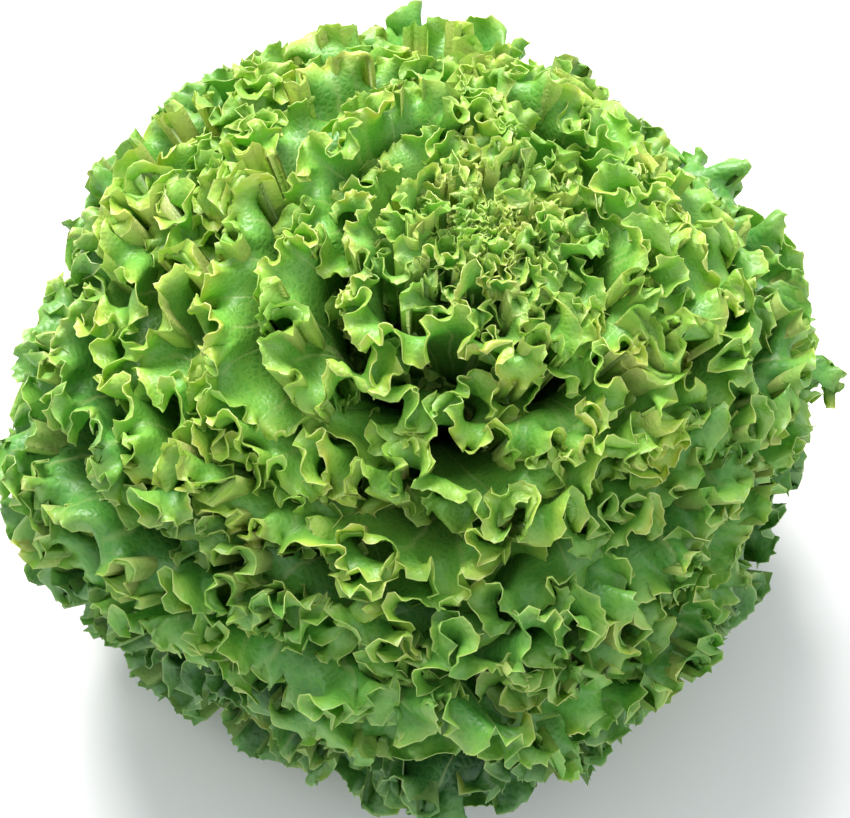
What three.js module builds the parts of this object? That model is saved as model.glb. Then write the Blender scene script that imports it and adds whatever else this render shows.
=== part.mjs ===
// A head of frilled, loose-leaf lettuce, cut at the stem and standing on the cut.
// Millimetres, +Z up. The origin is the centre of the stem's flat cut face.
//
// The leaves grow on a spiral round a tapered stem, the oldest at the bottom. Every leaf lies on
// its own surface of revolution, and those surfaces nest one inside the next like bowls, so the
// leaves never cross. A leaf covers a sector of its bowl, from the stem out to the domed top of the
// head, where its edge flares out in frills. One smooth bend then leans the heart and takes away
// the head's perfect roundness.

import * as THREE from "three";

// Driving dimensions of the head.
const HEAD_RADIUS = 147;
const DOME_CENTRE_HEIGHT = 95;
const DOME_RISE = 132;
const SKIRT_TUCK = 0.27; // how far the lowest leaf tips come in under the widest ring, as a share
const LOWEST_TIP_HEIGHT = 4.5;
const CORNERS = 0.03; // how far the plan's corners stand out, as a share
const CORNER_TURN = 5; // how far round from the axes they lie
const LEAN = 28; // sideways travel of the heart at the top of the head
const LEAN_HEIGHT = 225;
const SETTLE = 3; // how softly the lowest edges bend to lie level

// The stem: radius and height of its profile, from the cut face to the growing tip.
const STEM_FOOT_RADIUS = 13.5;
const STEM_RADIUS = 15.5;
const STEM_TIP_RADIUS = 4.5;
const STEM_SHOULDER_HEIGHT = 9;
const STEM_HEIGHT = 78;
const STEM_SIDES = 24;

// The leaves, number 1 the outermost.
const LEAF_COUNT = 57;
const GOLDEN_ANGLE = 137.508;
const FIRST_AZIMUTH = 266;
const LOWEST_TIP_ANGLE = 125; // from the top of the dome
const HIGHEST_TIP_ANGLE = 17;
const LOWEST_LEAF_HEIGHT = 7;
const HIGHEST_LEAF_HEIGHT = 72;
const STEM_GAP = 0.45;
const LEAF_BASE_HALF_WIDTH = 6;
const OUTER_SECTOR = 36; // half the angle that a leaf covers at its widest
const INNER_SECTOR = 60;
const WIDEST_WRAP = 64; // the most that half a leaf may wrap round the stem, so that two in turn stay clear
const ROUNDING = 0.18; // how much shorter a leaf is at its sides than along its rib, as a share
const TILT = 0.07; // the most that one side of a leaf's edge may stand higher than the other, as a share
const BLADE_THICKNESS = 0.8;
const OUTER_RIB_THICKNESS = 3.4;
const INNER_RIB_THICKNESS = 1.3;
const OUTER_FRILL = 9; // how far the edge stands out of the leaf's own surface
const INNER_FRILL = 3;

// The heart, which fills part of the innermost bowl.
const HEART_FILL = 0.8;
const HEART_TOP = 0.88; // how far up the innermost bowl it comes
const HEART_DISH = 4;
const HEART_SIDES = 16;

const LEAF_COLOURS = ["#4f8a2b", "#6fae35", "#9cc94a"];
const LEAF_ROUGHNESS = 0.45;

const lerp = THREE.MathUtils.lerp;
const radians = THREE.MathUtils.degToRad;
const smoothstep = THREE.MathUtils.smoothstep;

// A repeatable number from 0 to 1 for leaf number k and purpose n.
function chance(k, n) {
  const wave = Math.sin(k * 12.9898 + n * 78.233) * 43758.5453;
  return wave - Math.floor(wave);
}

// The head's one smooth bend: its heart leans towards +X with height, its round plan is drawn out
// into four soft corners, and what would hang below the cut face lies on the level of that face.
function bend(r, azimuth, z) {
  const away = smoothstep(r, 18, 110);
  const settled = (z + Math.sqrt(z * z + SETTLE * SETTLE)) / 2;
  const corners = Math.cos(4 * (azimuth - radians(CORNER_TURN)));
  const plan = 1 + away * (CORNERS * corners + 0.012 * Math.sin(3 * azimuth - 1.1));
  const heave = 1 + away * 0.03 * Math.sin(2 * azimuth + 2.2) * smoothstep(z, 20, 120);
  const lean = LEAN * Math.pow(Math.max(z, 0) / LEAN_HEIGHT, 1.6) * (1 - smoothstep(r, 15, 115));
  return new THREE.Vector3(
    r * plan * Math.cos(azimuth) + lean,
    r * plan * Math.sin(azimuth),
    lerp(z, settled, away) * heave,
  );
}

function stemRadius(z) {
  const up = THREE.MathUtils.clamp(
    (z - STEM_SHOULDER_HEIGHT) / (STEM_HEIGHT - STEM_SHOULDER_HEIGHT), 0, 1);
  return lerp(STEM_RADIUS, STEM_TIP_RADIUS, up);
}

function ribThickness(youth) {
  return lerp(OUTER_RIB_THICKNESS, INNER_RIB_THICKNESS, youth);
}

// Where a leaf with its tip at this angle from the top ends, as [radius, height].
function domePoint(angle) {
  if (angle <= 90) {
    const a = radians(angle);
    return [HEAD_RADIUS * Math.sin(a), DOME_CENTRE_HEIGHT + DOME_RISE * Math.cos(a)];
  }
  const down = (angle - 90) / (LOWEST_TIP_ANGLE - 90);
  return [
    HEAD_RADIUS * (1 - SKIRT_TUCK * down * down),
    lerp(DOME_CENTRE_HEIGHT, LOWEST_TIP_HEIGHT, down),
  ];
}

// The curve that a bowl turns round the stem: youth is 0 for the outermost bowl and 1 for the innermost.
function bowlProfile(youth) {
  const tipAngle = lerp(LOWEST_TIP_ANGLE, HIGHEST_TIP_ANGLE, youth);
  const baseHeight = lerp(LOWEST_LEAF_HEIGHT, HIGHEST_LEAF_HEIGHT, Math.pow(youth, 0.85));
  const rise = radians(lerp(16, 78, 1 - Math.pow(1 - youth, 1.9)));
  const clear = STEM_GAP + 0.5 * ribThickness(youth) * Math.sin(rise);
  const base = new THREE.Vector2(stemRadius(baseHeight) + clear, baseHeight);
  const tip = new THREE.Vector2(...domePoint(tipAngle));
  const end = radians(96 - 0.92 * tipAngle);
  const reach = base.distanceTo(tip);
  return new THREE.CubicBezierCurve(
    base,
    new THREE.Vector2(base.x + 0.38 * reach * Math.cos(rise), base.y + 0.38 * reach * Math.sin(rise)),
    new THREE.Vector2(tip.x - 0.32 * reach * Math.cos(end), tip.y - 0.32 * reach * Math.sin(end)),
    tip,
  );
}

// Half the leaf's width at s, from 0 at the stem to 1 at the tip: a narrow foot, a broad fan and a round end.
function halfWidth(s, widest) {
  const foot = LEAF_BASE_HALF_WIDTH;
  const fan = lerp(Math.min(foot, widest * 0.5), widest, smoothstep(s, 0.05, 0.66));
  const past = Math.max(0, (s - 0.62) / 0.38);
  return fan * Math.sqrt(1 - 0.7 * Math.pow(past, 2.6));
}

// What sets one leaf apart from the next: its place on the spiral and how far it has grown.
function leafPlan(number) {
  const k = number - 1;
  const youth = k / (LEAF_COUNT - 1);
  const profile = bowlProfile(youth);
  const sector = radians(lerp(OUTER_SECTOR, INNER_SECTOR, youth));
  const size = lerp(0.94, 1.04, chance(k, 1));
  return {
    youth,
    profile,
    azimuth: radians(FIRST_AZIMUTH + k * GOLDEN_ANGLE + lerp(-5, 5, chance(k, 2))),
    widest: profile.getPoint(1).x * sector * size,
    reach: lerp(0.93, 1, chance(k, 3)),
    tilt: lerp(-TILT, TILT, chance(k, 12)),
    frill: lerp(OUTER_FRILL, INNER_FRILL, youth),
    rib: ribThickness(youth),
    rows: youth < 0.34 ? 6 : 5,
    columns: youth < 0.67 ? 8 : 6,
  };
}

// A leaf as one closed shell: a grid of points on its bowl, moved half the thickness to each side.
function leafGeometry(plan) {
  const { profile, rows, columns } = plan;
  const points = [];
  for (const side of [1, -1]) {
    for (let i = 0; i <= rows; i++) {
      // Rows lie closer together near the frilled edge.
      const s = 1 - Math.pow(1 - i / rows, 1.25);
      const width = halfWidth(s, plan.widest);
      for (let j = 0; j <= columns; j++) {
        const across = (2 * j) / columns - 1;
        const round = 1 - smoothstep(s, 0, 1) * (ROUNDING * across * across - plan.tilt * across);
        const reach = Math.min(1, s * plan.reach * round);
        const at = profile.getPoint(reach);
        const along = profile.getTangent(reach);
        const spread = Math.min(width / at.x, radians(WIDEST_WRAP));
        const wave = j % 2 === 0 ? 1 : 0.15;
        const flare = plan.frill * wave * smoothstep(s, 0.7, 1);
        const ribShare = Math.exp(-9 * across * across) * (1 - s) * (1 - s);
        const thick = lerp(BLADE_THICKNESS * lerp(1, 0.8, plan.youth), plan.rib, ribShare);
        const azimuth = plan.azimuth + spread * across;
        const outward = new THREE.Vector3(
          along.y * Math.cos(azimuth), along.y * Math.sin(azimuth), -along.x);
        const middle = bend(at.x + along.y * flare, azimuth, at.y - along.x * flare);
        points.push(...middle.addScaledVector(outward, (side * thick) / 2));
      }
    }
  }
  return shellGeometry(points, rows, columns);
}

// Joins two equal grids of points, the outer face first, into one closed shell.
function shellGeometry(points, rows, columns) {
  const wide = columns + 1;
  const under = wide * (rows + 1);
  const index = [];
  const quad = (a, b, c, d) => index.push(a, b, c, a, c, d);
  for (let i = 0; i < rows; i++) {
    for (let j = 0; j < columns; j++) {
      const a = i * wide + j;
      quad(a, a + 1, a + 1 + wide, a + wide);
      quad(under + a, under + a + wide, under + a + 1 + wide, under + a + 1);
    }
    const left = i * wide;
    const right = left + columns;
    quad(left, left + wide, under + left + wide, under + left);
    quad(right + wide, right, under + right, under + right + wide);
  }
  for (let j = 0; j < columns; j++) {
    const top = rows * wide + j;
    quad(j + 1, j, under + j, under + j + 1);
    quad(top, top + 1, under + top + 1, under + top);
  }
  return new THREE.BufferGeometry()
    .setAttribute("position", new THREE.Float32BufferAttribute(points, 3))
    .setIndex(index);
}

// Turns a [radius, height] outline round the axis and bends it with the rest of the head.
function turnedGeometry(outline, sides) {
  const geometry = new THREE.LatheGeometry(outline.map((p) => new THREE.Vector2(...p)), sides);
  geometry.rotateX(Math.PI / 2); // a lathe turns round Y
  const place = geometry.getAttribute("position");
  for (let i = 0; i < place.count; i++) {
    const [x, y, z] = [place.getX(i), place.getY(i), place.getZ(i)];
    place.setXYZ(i, ...bend(Math.hypot(x, y), Math.atan2(y, x), z));
  }
  return geometry;
}

function stemGeometry() {
  const middle = lerp(STEM_SHOULDER_HEIGHT, STEM_HEIGHT, 0.5);
  return turnedGeometry(
    [
      [0, 0],
      [STEM_FOOT_RADIUS, 0],
      [STEM_RADIUS, 2.5],
      [STEM_RADIUS, STEM_SHOULDER_HEIGHT],
      [stemRadius(middle), middle],
      [STEM_TIP_RADIUS, STEM_HEIGHT],
      [0, STEM_HEIGHT + 2],
    ],
    STEM_SIDES,
  );
}

// The bud of youngest leaves, still packed together, fills the innermost bowl and is dished on top.
function heartGeometry() {
  const inner = bowlProfile(1);
  const outline = [[0, STEM_HEIGHT + 3]];
  for (const s of [0.12, 0.3, 0.5, 0.7, HEART_TOP]) {
    const at = inner.getPoint(s);
    outline.push([at.x * HEART_FILL - 1.2, at.y]);
  }
  const rim = inner.getPoint(HEART_TOP);
  outline.push([rim.x * 0.4, rim.y + 2], [0, rim.y - HEART_DISH]);
  return turnedGeometry(outline, HEART_SIDES);
}

function dressed(name, geometry, colour, roughness) {
  const mesh = new THREE.Mesh(
    geometry, new THREE.MeshStandardMaterial({ color: colour, roughness, metalness: 0 }));
  mesh.name = name;
  return mesh;
}

const lettuce = new THREE.Group();
lettuce.add(dressed("stem", stemGeometry(), "#dfe6c4", 0.6));
for (let number = 1; number <= LEAF_COUNT; number++) {
  const plan = leafPlan(number);
  const band = Math.min(2, Math.floor(plan.youth * 3));
  const name = `leaf_${String(number).padStart(2, "0")}`;
  lettuce.add(dressed(name, leafGeometry(plan), LEAF_COLOURS[band], LEAF_ROUGHNESS));
}
lettuce.add(dressed("heart", heartGeometry(), "#b7d658", 0.5));

export default lettuce;
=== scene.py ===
"""A head of frilled, loose-leaf lettuce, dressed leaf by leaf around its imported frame.

Every leaf is a thin closed sheet. It starts on its own bowl round the stem, as its solid in the
frame does, and then its edge grows longer than its seat allows, so it buckles: first in broad
waves, then in smaller waves on those, and last in fine crimps and pointed teeth. The youngest
leaves, which the frame holds as one plain bud, are separate small leaves here.

Metres, +Z up, the origin at the centre of the stem's cut face.
"""

import logging
import math
from dataclasses import dataclass, field
from enum import Enum
from typing import Iterable

import bpy
import numpy as np
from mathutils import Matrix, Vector


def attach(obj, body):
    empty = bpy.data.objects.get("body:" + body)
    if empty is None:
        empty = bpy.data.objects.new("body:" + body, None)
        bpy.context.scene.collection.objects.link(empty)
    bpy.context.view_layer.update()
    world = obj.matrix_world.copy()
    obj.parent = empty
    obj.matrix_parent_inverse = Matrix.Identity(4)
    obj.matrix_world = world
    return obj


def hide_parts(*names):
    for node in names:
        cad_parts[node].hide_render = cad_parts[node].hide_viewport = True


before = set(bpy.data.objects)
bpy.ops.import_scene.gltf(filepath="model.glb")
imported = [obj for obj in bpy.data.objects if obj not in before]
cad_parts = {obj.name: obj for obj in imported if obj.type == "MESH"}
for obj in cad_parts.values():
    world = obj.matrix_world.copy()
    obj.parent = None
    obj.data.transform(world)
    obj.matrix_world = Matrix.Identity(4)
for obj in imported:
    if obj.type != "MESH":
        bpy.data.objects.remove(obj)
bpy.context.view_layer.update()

Array = np.ndarray
MM = 0.001
GOLDEN_ANGLE = 137.508  # degrees round the stem from each leaf to the next
log = logging.getLogger("lettuce")


# Small numbers work


def mix(start: Array | float, end: Array | float, share: Array | float) -> Array | float:
    """Returns the value a share of the way from start to end."""
    return start + (end - start) * share


def ease(value: Array | float, start: float, end: float) -> Array:
    """Rises from 0 at start to 1 at end along the cubic 3t^2 - 2t^3, and is level outside them."""
    t = np.clip((np.asarray(value, float) - start) / (end - start), 0.0, 1.0)
    return t * t * (3.0 - 2.0 * t)


def unit(vectors: Array) -> Array:
    """Returns the vectors at length 1, along their last axis."""
    return vectors / np.maximum(np.linalg.norm(vectors, axis=-1, keepdims=True), 1e-12)


def wander(place: Array, seed: tuple[int, ...]) -> Array:
    """Smooth noise from -1 to 1: a random height at every whole number, eased from one to the next.

    Args:
        place: where the noise is read, zero or more.
        seed: which noise it is. The same seed gives the same noise at any number of places.

    Returns:
        The noise, in the shape of place.
    """
    heights = np.random.default_rng(seed).uniform(-1.0, 1.0, int(place.max()) + 3)
    whole = np.floor(place).astype(int)
    share = ease(place - whole, 0.0, 1.0)
    return mix(heights[whole], heights[whole + 1], share)


@dataclass(frozen=True)
class SoftField:
    """A smooth random field in space: a sum of sines that run in random directions."""

    wavelength: float
    seed: int
    waves: int = 7

    def at(self, points: Array) -> Array:
        """The field at the points, mostly between -1 and 1.

        Args:
            points: places, with x, y and z along the last axis.

        Returns:
            One number for each place.
        """
        rng = np.random.default_rng(self.seed)
        ways = unit(rng.normal(size=(self.waves, 3)))
        lengths = self.wavelength * rng.uniform(0.75, 1.35, (self.waves, 1))
        starts = rng.uniform(0, 2 * np.pi, self.waves)
        phases = points @ (2 * np.pi * ways / lengths).T + starts
        return np.sin(phases).sum(axis=-1) / math.sqrt(self.waves)


def chance(leaf: int, purpose: int) -> float:
    """A repeatable number from 0 to 1, the same one that the frame's leaves are varied with."""
    wave = math.sin(leaf * 12.9898 + purpose * 78.233) * 43758.5453
    return wave - math.floor(wave)


def running_length(points: Array) -> Array:
    """The distance travelled along a row of points, 0 at the first."""
    steps = np.linalg.norm(np.diff(points, axis=0), axis=-1)
    return np.concatenate([[0.0], np.cumsum(steps)])


# The form of the whole head


@dataclass(frozen=True)
class Bowl:
    """A curve from a leaf's foot to its tip, turned round the stem: a cubic from base to tip."""

    base: Array
    first: Array
    second: Array
    tip: Array

    def point(self, t: Array) -> Array:
        """Radius and height at a place on the curve: the cubic Bezier sum.

        Args:
            t: places, from 0 at the base to 1 at the tip.

        Returns:
            Radius and height for each place, along the last axis.
        """
        t = np.asarray(t, float)[..., None]
        left = 1.0 - t
        return (
            left**3 * self.base
            + 3 * left**2 * t * self.first
            + 3 * left * t**2 * self.second
            + t**3 * self.tip
        )

    def direction(self, t: Array) -> Array:
        """The way that the curve runs at a place on it: the derivative of the cubic.

        Args:
            t: places, from 0 at the base to 1 at the tip.

        Returns:
            The way in radius and height for each place, at length 1.
        """
        t = np.asarray(t, float)[..., None]
        left = 1.0 - t
        return unit(
            left**2 * (self.first - self.base)
            + 2 * left * t * (self.second - self.first)
            + t**2 * (self.tip - self.second)
        )


@dataclass(frozen=True)
class HeadForm:
    """The domed head that all the leaves make together, and the bowls that nest inside it."""

    radius: float = 147 * MM
    dome_centre: float = 95 * MM  # the height of the widest ring
    dome_rise: float = 132 * MM
    skirt_tuck: float = 0.27  # how much narrower the lowest leaves are, as a share of the radius
    lowest_tip: float = 4.5 * MM
    corners: float = 0.03  # how far the plan's four soft corners stand out, as a share
    corner_turn: float = 5.0  # the first corner's azimuth, in degrees
    lean: float = 28 * MM  # how far the heart leans at the lean height
    lean_height: float = 225 * MM
    settle: float = 3 * MM
    stem_radius: float = 15.5 * MM
    stem_tip_radius: float = 4.5 * MM
    stem_shoulder: float = 9 * MM
    stem_height: float = 78 * MM
    lowest_tip_angle: float = 125.0  # degrees from the top of the dome, as for the next
    highest_tip_angle: float = 17.0
    lowest_leaf: float = 7 * MM
    highest_leaf: float = 72 * MM
    bud_dip: tuple[float, float] = (4 * MM, 13 * MM)  # how far its first and last leaves sink
    tip_wander: float = 6 * MM  # how far leaf edges stray up and down the dome
    swell: float = 2.5 * MM  # how far the dome itself swells and sinks
    plan_waves: tuple[tuple[int, float, float], ...] = (
        (2, 0.012, -49.0),
        (3, 0.032, -13.0),
        (4, 0.024, 31.0),
        (5, 0.019, -6.0),
    )  # how many waves go round the plan, their height as a share of the radius, one peak's azimuth
    stray_field: SoftField = SoftField(72 * MM, 11)
    swell_field: SoftField = SoftField(88 * MM, 23)

    def bend(self, radius: Array, azimuth: Array, height: Array) -> Array:
        """Places points given round the axis, with the head's lean and unevenness.

        The plan radius swells by the cosine of four times the azimuth, which makes four soft
        corners, and by a sine of three times it. Near the axis the heart leans to +X with the
        1.6th power of the height. What would hang below the cut face lies level.

        Args:
            radius: distances from the axis.
            azimuth: angles round the axis, in radians.
            height: heights above the cut face.

        Returns:
            Points, one row of three for each place.
        """
        away = ease(radius, 18 * MM, 110 * MM)
        settled = (height + np.sqrt(height**2 + self.settle**2)) / 2
        corners = np.cos(4 * (azimuth - math.radians(self.corner_turn)))
        plan = 1 + away * (self.corners * corners + 0.012 * np.sin(3 * azimuth - 1.1))
        heave = 1 + away * 0.03 * np.sin(2 * azimuth + 2.2) * ease(height, 20 * MM, 120 * MM)
        lean = self.lean * (np.maximum(height, 0) / self.lean_height) ** 1.6
        lean = lean * (1 - ease(radius, 15 * MM, 115 * MM))
        return np.stack(
            [
                radius * plan * np.cos(azimuth) + lean,
                radius * plan * np.sin(azimuth),
                mix(height, settled, away) * heave,
            ],
            axis=-1,
        )

    def billow(self, radius: Array, azimuth: Array, height: Array) -> tuple[Array, Array]:
        """Lets the dome swell here and there, and its leaf edges stray up and down it.

        Radius and height are moved in their own plane: along the dome by one soft field, and
        away from the dome's centre by another. A few cosine waves round the head make its plan
        uneven. Neighbouring leaves move together. The moves fade out towards the stem and the
        ground.

        Args:
            radius: distances from the axis.
            azimuth: angles round the axis, in radians.
            height: heights above the cut face.

        Returns:
            The new radii and heights.
        """
        place = np.stack([radius * np.cos(azimuth), radius * np.sin(azimuth), height], -1)
        up = height - 0.75 * self.dome_centre
        span = np.maximum(np.hypot(radius, up), 1 * MM)
        free = ease(span, 40 * MM, 110 * MM) * ease(height, 4 * MM, 50 * MM)
        along = self.tip_wander * self.stray_field.at(place) * free * ease(radius, 0, 60 * MM)
        out = self.swell * self.swell_field.at(place) * free
        plan = 1.0
        for count, size, peak in self.plan_waves:
            plan = plan + size * free * np.cos(count * (azimuth - math.radians(peak)))
        return (
            (radius + (out * radius + along * up) / span) * plan,
            height + (out * up - along * radius) / span,
        )

    def stem_radius_at(self, height: float) -> float:
        """The stem's radius, which shrinks evenly from its shoulder to its tip."""
        up = np.clip(
            (height - self.stem_shoulder) / (self.stem_height - self.stem_shoulder), 0, 1
        )
        return float(mix(self.stem_radius, self.stem_tip_radius, up))

    def dome_point(self, angle: float) -> Array:
        """Radius and height of the dome at an angle in degrees from its top.

        It is an ellipse down to the widest ring. Under that the radius shrinks with the square of
        the way down, and the height falls evenly to the lowest tip.

        Args:
            angle: 0 at the top, 90 at the widest ring, and more under it.

        Returns:
            The radius and the height.
        """
        if angle <= 90:
            turn = math.radians(angle)
            out, up = self.radius * math.sin(turn), self.dome_centre + self.dome_rise * math.cos(turn)
        else:
            down = (angle - 90) / (self.lowest_tip_angle - 90)
            out = self.radius * (1 - self.skirt_tuck * down**2)
            up = mix(self.dome_centre, self.lowest_tip, down)
        return np.array([out, up])

    def bowl(self, youth: float) -> Bowl:
        """The bowl of one full-grown leaf.

        Args:
            youth: 0 for the outermost leaf and 1 for the innermost.

        Returns:
            The bowl, from its foot on the stem to its own place on the dome.
        """
        tip_angle = mix(self.lowest_tip_angle, self.highest_tip_angle, youth)
        height = mix(self.lowest_leaf, self.highest_leaf, youth**0.85)
        rise = math.radians(mix(16, 78, 1 - (1 - youth) ** 1.9))
        base = np.array([self.stem_radius_at(height) + 0.3 * MM, height])
        return self.arch(base, self.dome_point(tip_angle), rise, tip_angle)

    def bud_bowl(self, depth: float) -> Bowl:
        """The bowl of a leaf of the bud.

        Every leaf's tip is nearer to the axis than the last by the same ratio. The tips follow the
        dome, and sink under it more and more.

        Args:
            depth: 0 for the bud's outermost leaf and 1 for the last.

        Returns:
            The bowl, from its foot on the stem's tip.
        """
        inner = self.bowl(1.0)
        base = np.array([mix(inner.base[0], 0.6 * MM, depth), self.stem_height - 2 * MM])
        out = 0.95 * inner.tip[0] * 0.055**depth
        dome = self.dome_centre + self.dome_rise * math.sqrt(1 - (out / self.radius) ** 2)
        tip = np.array([out, dome - mix(*self.bud_dip, depth)])
        return self.arch(base, tip, math.radians(mix(80, 88, depth)), mix(14, 2, depth))

    @staticmethod
    def arch(base: Array, tip: Array, rise: float, tip_angle: float) -> Bowl:
        """A bowl that meets the dome nearly square on.

        Args:
            base: radius and height of the foot.
            tip: radius and height of the tip.
            rise: how steeply the bowl leaves its foot, in radians.
            tip_angle: the tip's angle from the top of the dome, in degrees.

        Returns:
            The bowl.
        """
        end = math.radians(96 - 0.92 * tip_angle)
        reach = float(np.linalg.norm(tip - base))
        away = np.array([math.cos(rise), math.sin(rise)])
        home = np.array([math.cos(end), math.sin(end)])
        return Bowl(base, base + 0.38 * reach * away, tip - 0.32 * reach * home, tip)


# A leaf's frills


@dataclass(frozen=True)
class Ruffle:
    """One order of waves along a leaf's edge. Lengths are in metres along the edge as it lies."""

    wavelength: float
    lean: float  # how far the edge leans over at a wave's crest, in degrees
    depth: float  # how far in from the edge the waves reach, as a share of the wavelength
    pinch: float = 0.35  # how far the waves' necks close, as a share of the wave's height
    flare: float = 0.0  # how far the edge leans out as a whole, as a share of lean
    unevenness: float = 0.5  # how much waves differ in height
    drift: float = 0.3  # how much wavelengths differ
    curl: float = 1.0  # the power with which the lean grows towards the edge
    stray: float = 0.25  # how far the folds stray from the rays, in turns of a wave

    def shape(self, sheet: "Sheet", seed: tuple[int, ...]) -> None:
        """Buckles the sheet: its rays curl over to one side and the other by the sine of the
        phase, and its points move along the edge against the sine of twice the phase, which draws
        the waves' necks in.

        Args:
            sheet: the leaf's sheet, whose points are changed.
            seed: which unevenness the waves have.
        """
        _, along, _ = sheet.directions()
        edge = running_length(sheet.points[-1])
        spread = wander(edge / (1.7 * self.wavelength), (*seed, 1))
        spacing = self.wavelength * (1 + self.drift * spread)
        steps = np.diff(edge) / ((spacing[1:] + spacing[:-1]) / 2)
        turns = np.concatenate([[0.0], np.cumsum(steps)]) + wander(np.zeros(1), (*seed, 2)) + 1
        size = 1 + self.unevenness * wander(turns * 1.15, (*seed, 3))
        neck = 1 + 0.6 * wander(turns * 0.8, (*seed, 4))
        inset = sheet.from_edge / (self.depth * self.wavelength)
        rise = np.clip(1 - inset, 0, 1) ** self.curl * sheet.freedom
        lean = math.radians(self.lean) * size * rise
        slant = 0.7 * wander(turns * 0.6, (*seed, 5)) * (1 - sheet.v)[:, None]
        strayed = SoftField(1.2 * self.wavelength, seed[0] + 40 * seed[1]).at(sheet.points)
        phase = 2 * np.pi * (turns + slant + self.stray * strayed)
        swing = sheet.curl_over(lean * (np.sin(phase) + self.flare), lean)
        sway = -self.pinch * neck * swing * np.sin(2 * phase)
        sheet.points = sheet.points + along * sway[..., None]


@dataclass(frozen=True)
class Teeth:
    """Pointed teeth along a leaf's edge with hollow arcs between their points."""

    spacing: tuple[float, float]  # the least and the most from point to point
    height: float
    depth: float = 3.2 * MM

    def shape(self, sheet: "Sheet", seed: tuple[int, ...]) -> None:
        """Draws the edge out along the sheet to a point wherever two teeth meet, and lets it fall
        back between them with a power of the nearness to a point.

        Args:
            sheet: the leaf's sheet, whose points are changed.
            seed: which unevenness the teeth have.
        """
        rng = np.random.default_rng((*seed, 9))
        edge = running_length(sheet.points[-1])
        wanted = np.cumsum(rng.uniform(*self.spacing, int(edge[-1] / self.spacing[0]) + 2))
        points = np.unique(np.searchsorted(edge, wanted[wanted < edge[-1]]))
        points = np.concatenate([[0], points[points > 0], [len(edge) + 4]])
        places = np.arange(len(edge))
        before = np.searchsorted(points, places, side="right") - 1
        share = (places - points[before]) / (points[before + 1] - points[before])
        heights = self.height * rng.uniform(0.2, 1.3, len(points))
        near = np.abs(2 * share - 1) ** 2.2
        reach = near * np.where(share < 0.5, heights[before], heights[before + 1])
        _, _, outward = sheet.directions()
        rise = np.clip(1 - sheet.from_edge / self.depth, 0, 1) * sheet.freedom
        sheet.points = sheet.points + outward * (reach * rise)[..., None]


@dataclass
class Sheet:
    """A leaf's middle surface as rows of points, from the rib at v = 0 to the edge at v = 1.

    Columns run round the edge, from one side of the foot over the tip to the other side.
    """

    points: Array  # rows, columns, 3
    v: Array  # rows
    from_edge: Array  # rows, columns: metres to the edge along the sheet
    from_rib: Array  # rows, columns: metres to the rib across the sheet
    along_rib: Array  # rows, columns: 0 at the foot and 1 at the tip
    freedom: Array  # rows, columns: 0 where the leaf is held flat and 1 where it may ruffle

    def directions(self) -> tuple[Array, Array, Array]:
        """The sheet's own ways at each point.

        Returns:
            The outward normal, the way along the edge and the way out to the edge.
        """
        along = unit(np.gradient(self.points, axis=1))
        outward = unit(np.gradient(self.points, axis=0))
        return unit(np.cross(along, outward)), along, outward

    def curl_over(self, angle: Array, most: Array) -> Array:
        """Turns each step of every ray towards the sheet's normal, and keeps the step's length.

        Args:
            angle: how far to turn at each point, in radians.
            most: how far a wave's crest would turn there, in radians.

        Returns:
            How far a wave's crest would have moved at each point, in metres.
        """
        normal, _, _ = self.directions()
        steps = np.diff(self.points, axis=0)
        length = np.linalg.norm(steps, axis=-1, keepdims=True)
        normal = normal[1:] + normal[:-1]
        ahead = steps / np.maximum(length, 1e-9)
        normal = unit(normal - ahead * (normal * ahead).sum(axis=-1, keepdims=True))
        angle = ((angle[1:] + angle[:-1]) / 2)[..., None]
        turned = length * (ahead * np.cos(angle) + normal * np.sin(angle))
        moved = np.cumsum(turned, axis=0)
        self.points = np.concatenate([self.points[:1], self.points[:1] + moved])
        swing = np.cumsum(length[..., 0] * np.sin((most[1:] + most[:-1]) / 2), axis=0)
        return np.concatenate([np.zeros_like(swing[:1]), swing])


# Meshes


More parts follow.
